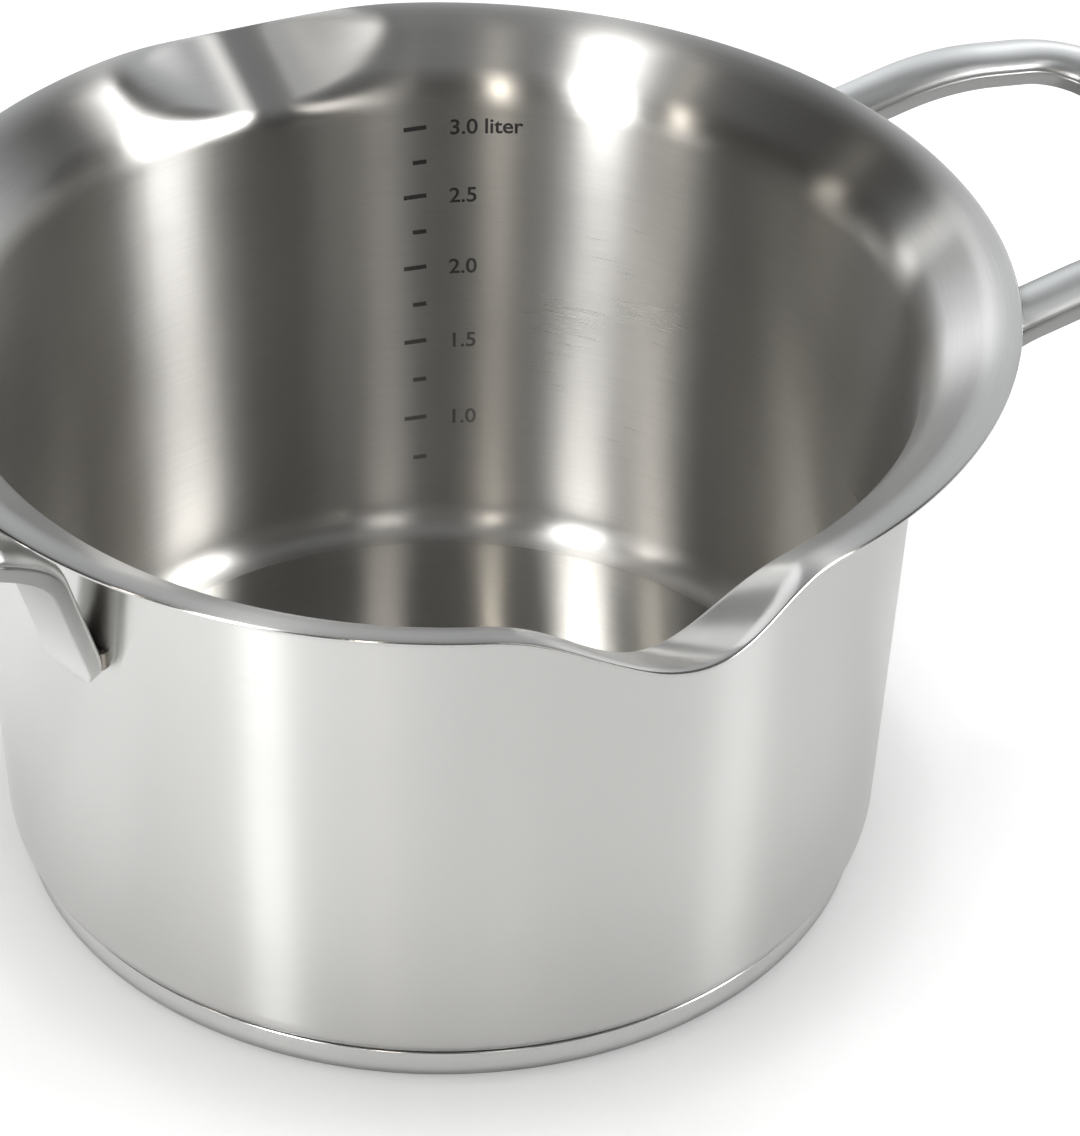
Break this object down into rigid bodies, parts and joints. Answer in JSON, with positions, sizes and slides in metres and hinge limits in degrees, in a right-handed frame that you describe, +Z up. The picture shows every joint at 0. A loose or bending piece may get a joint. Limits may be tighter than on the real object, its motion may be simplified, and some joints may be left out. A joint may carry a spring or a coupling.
{
  "type": "soup pot",
  "caption": "Tapered steel soup pot with a wide flared rim, opposite pouring spouts, a sandwich base and loop handles of crowned bar welded to the wall",
  "frame": {"origin": "centre of the base's underside, on the surface that the pot stands on", "axes": "+Z up out of the pot, X along the line through the handles, Y along the line through the spouts, with the volume scale on the inside of the +Y wall"},
  "size_m": [0.357, 0.2526, 0.1362],
  "materials": {
    "body_steel": "polished outside, finely brushed inside",
    "cap_steel": "polished edge",
    "core_aluminium": "plain, sealed inside the base",
    "handle_steel": "satin"
  },
  "bodies": {
    "root": {"pot_body": "body_steel", "base_cap": "cap_steel", "core_disc": "core_aluminium", "handle_right": "handle_steel", "handle_left": "handle_steel"}
  },
  "joints": []
}
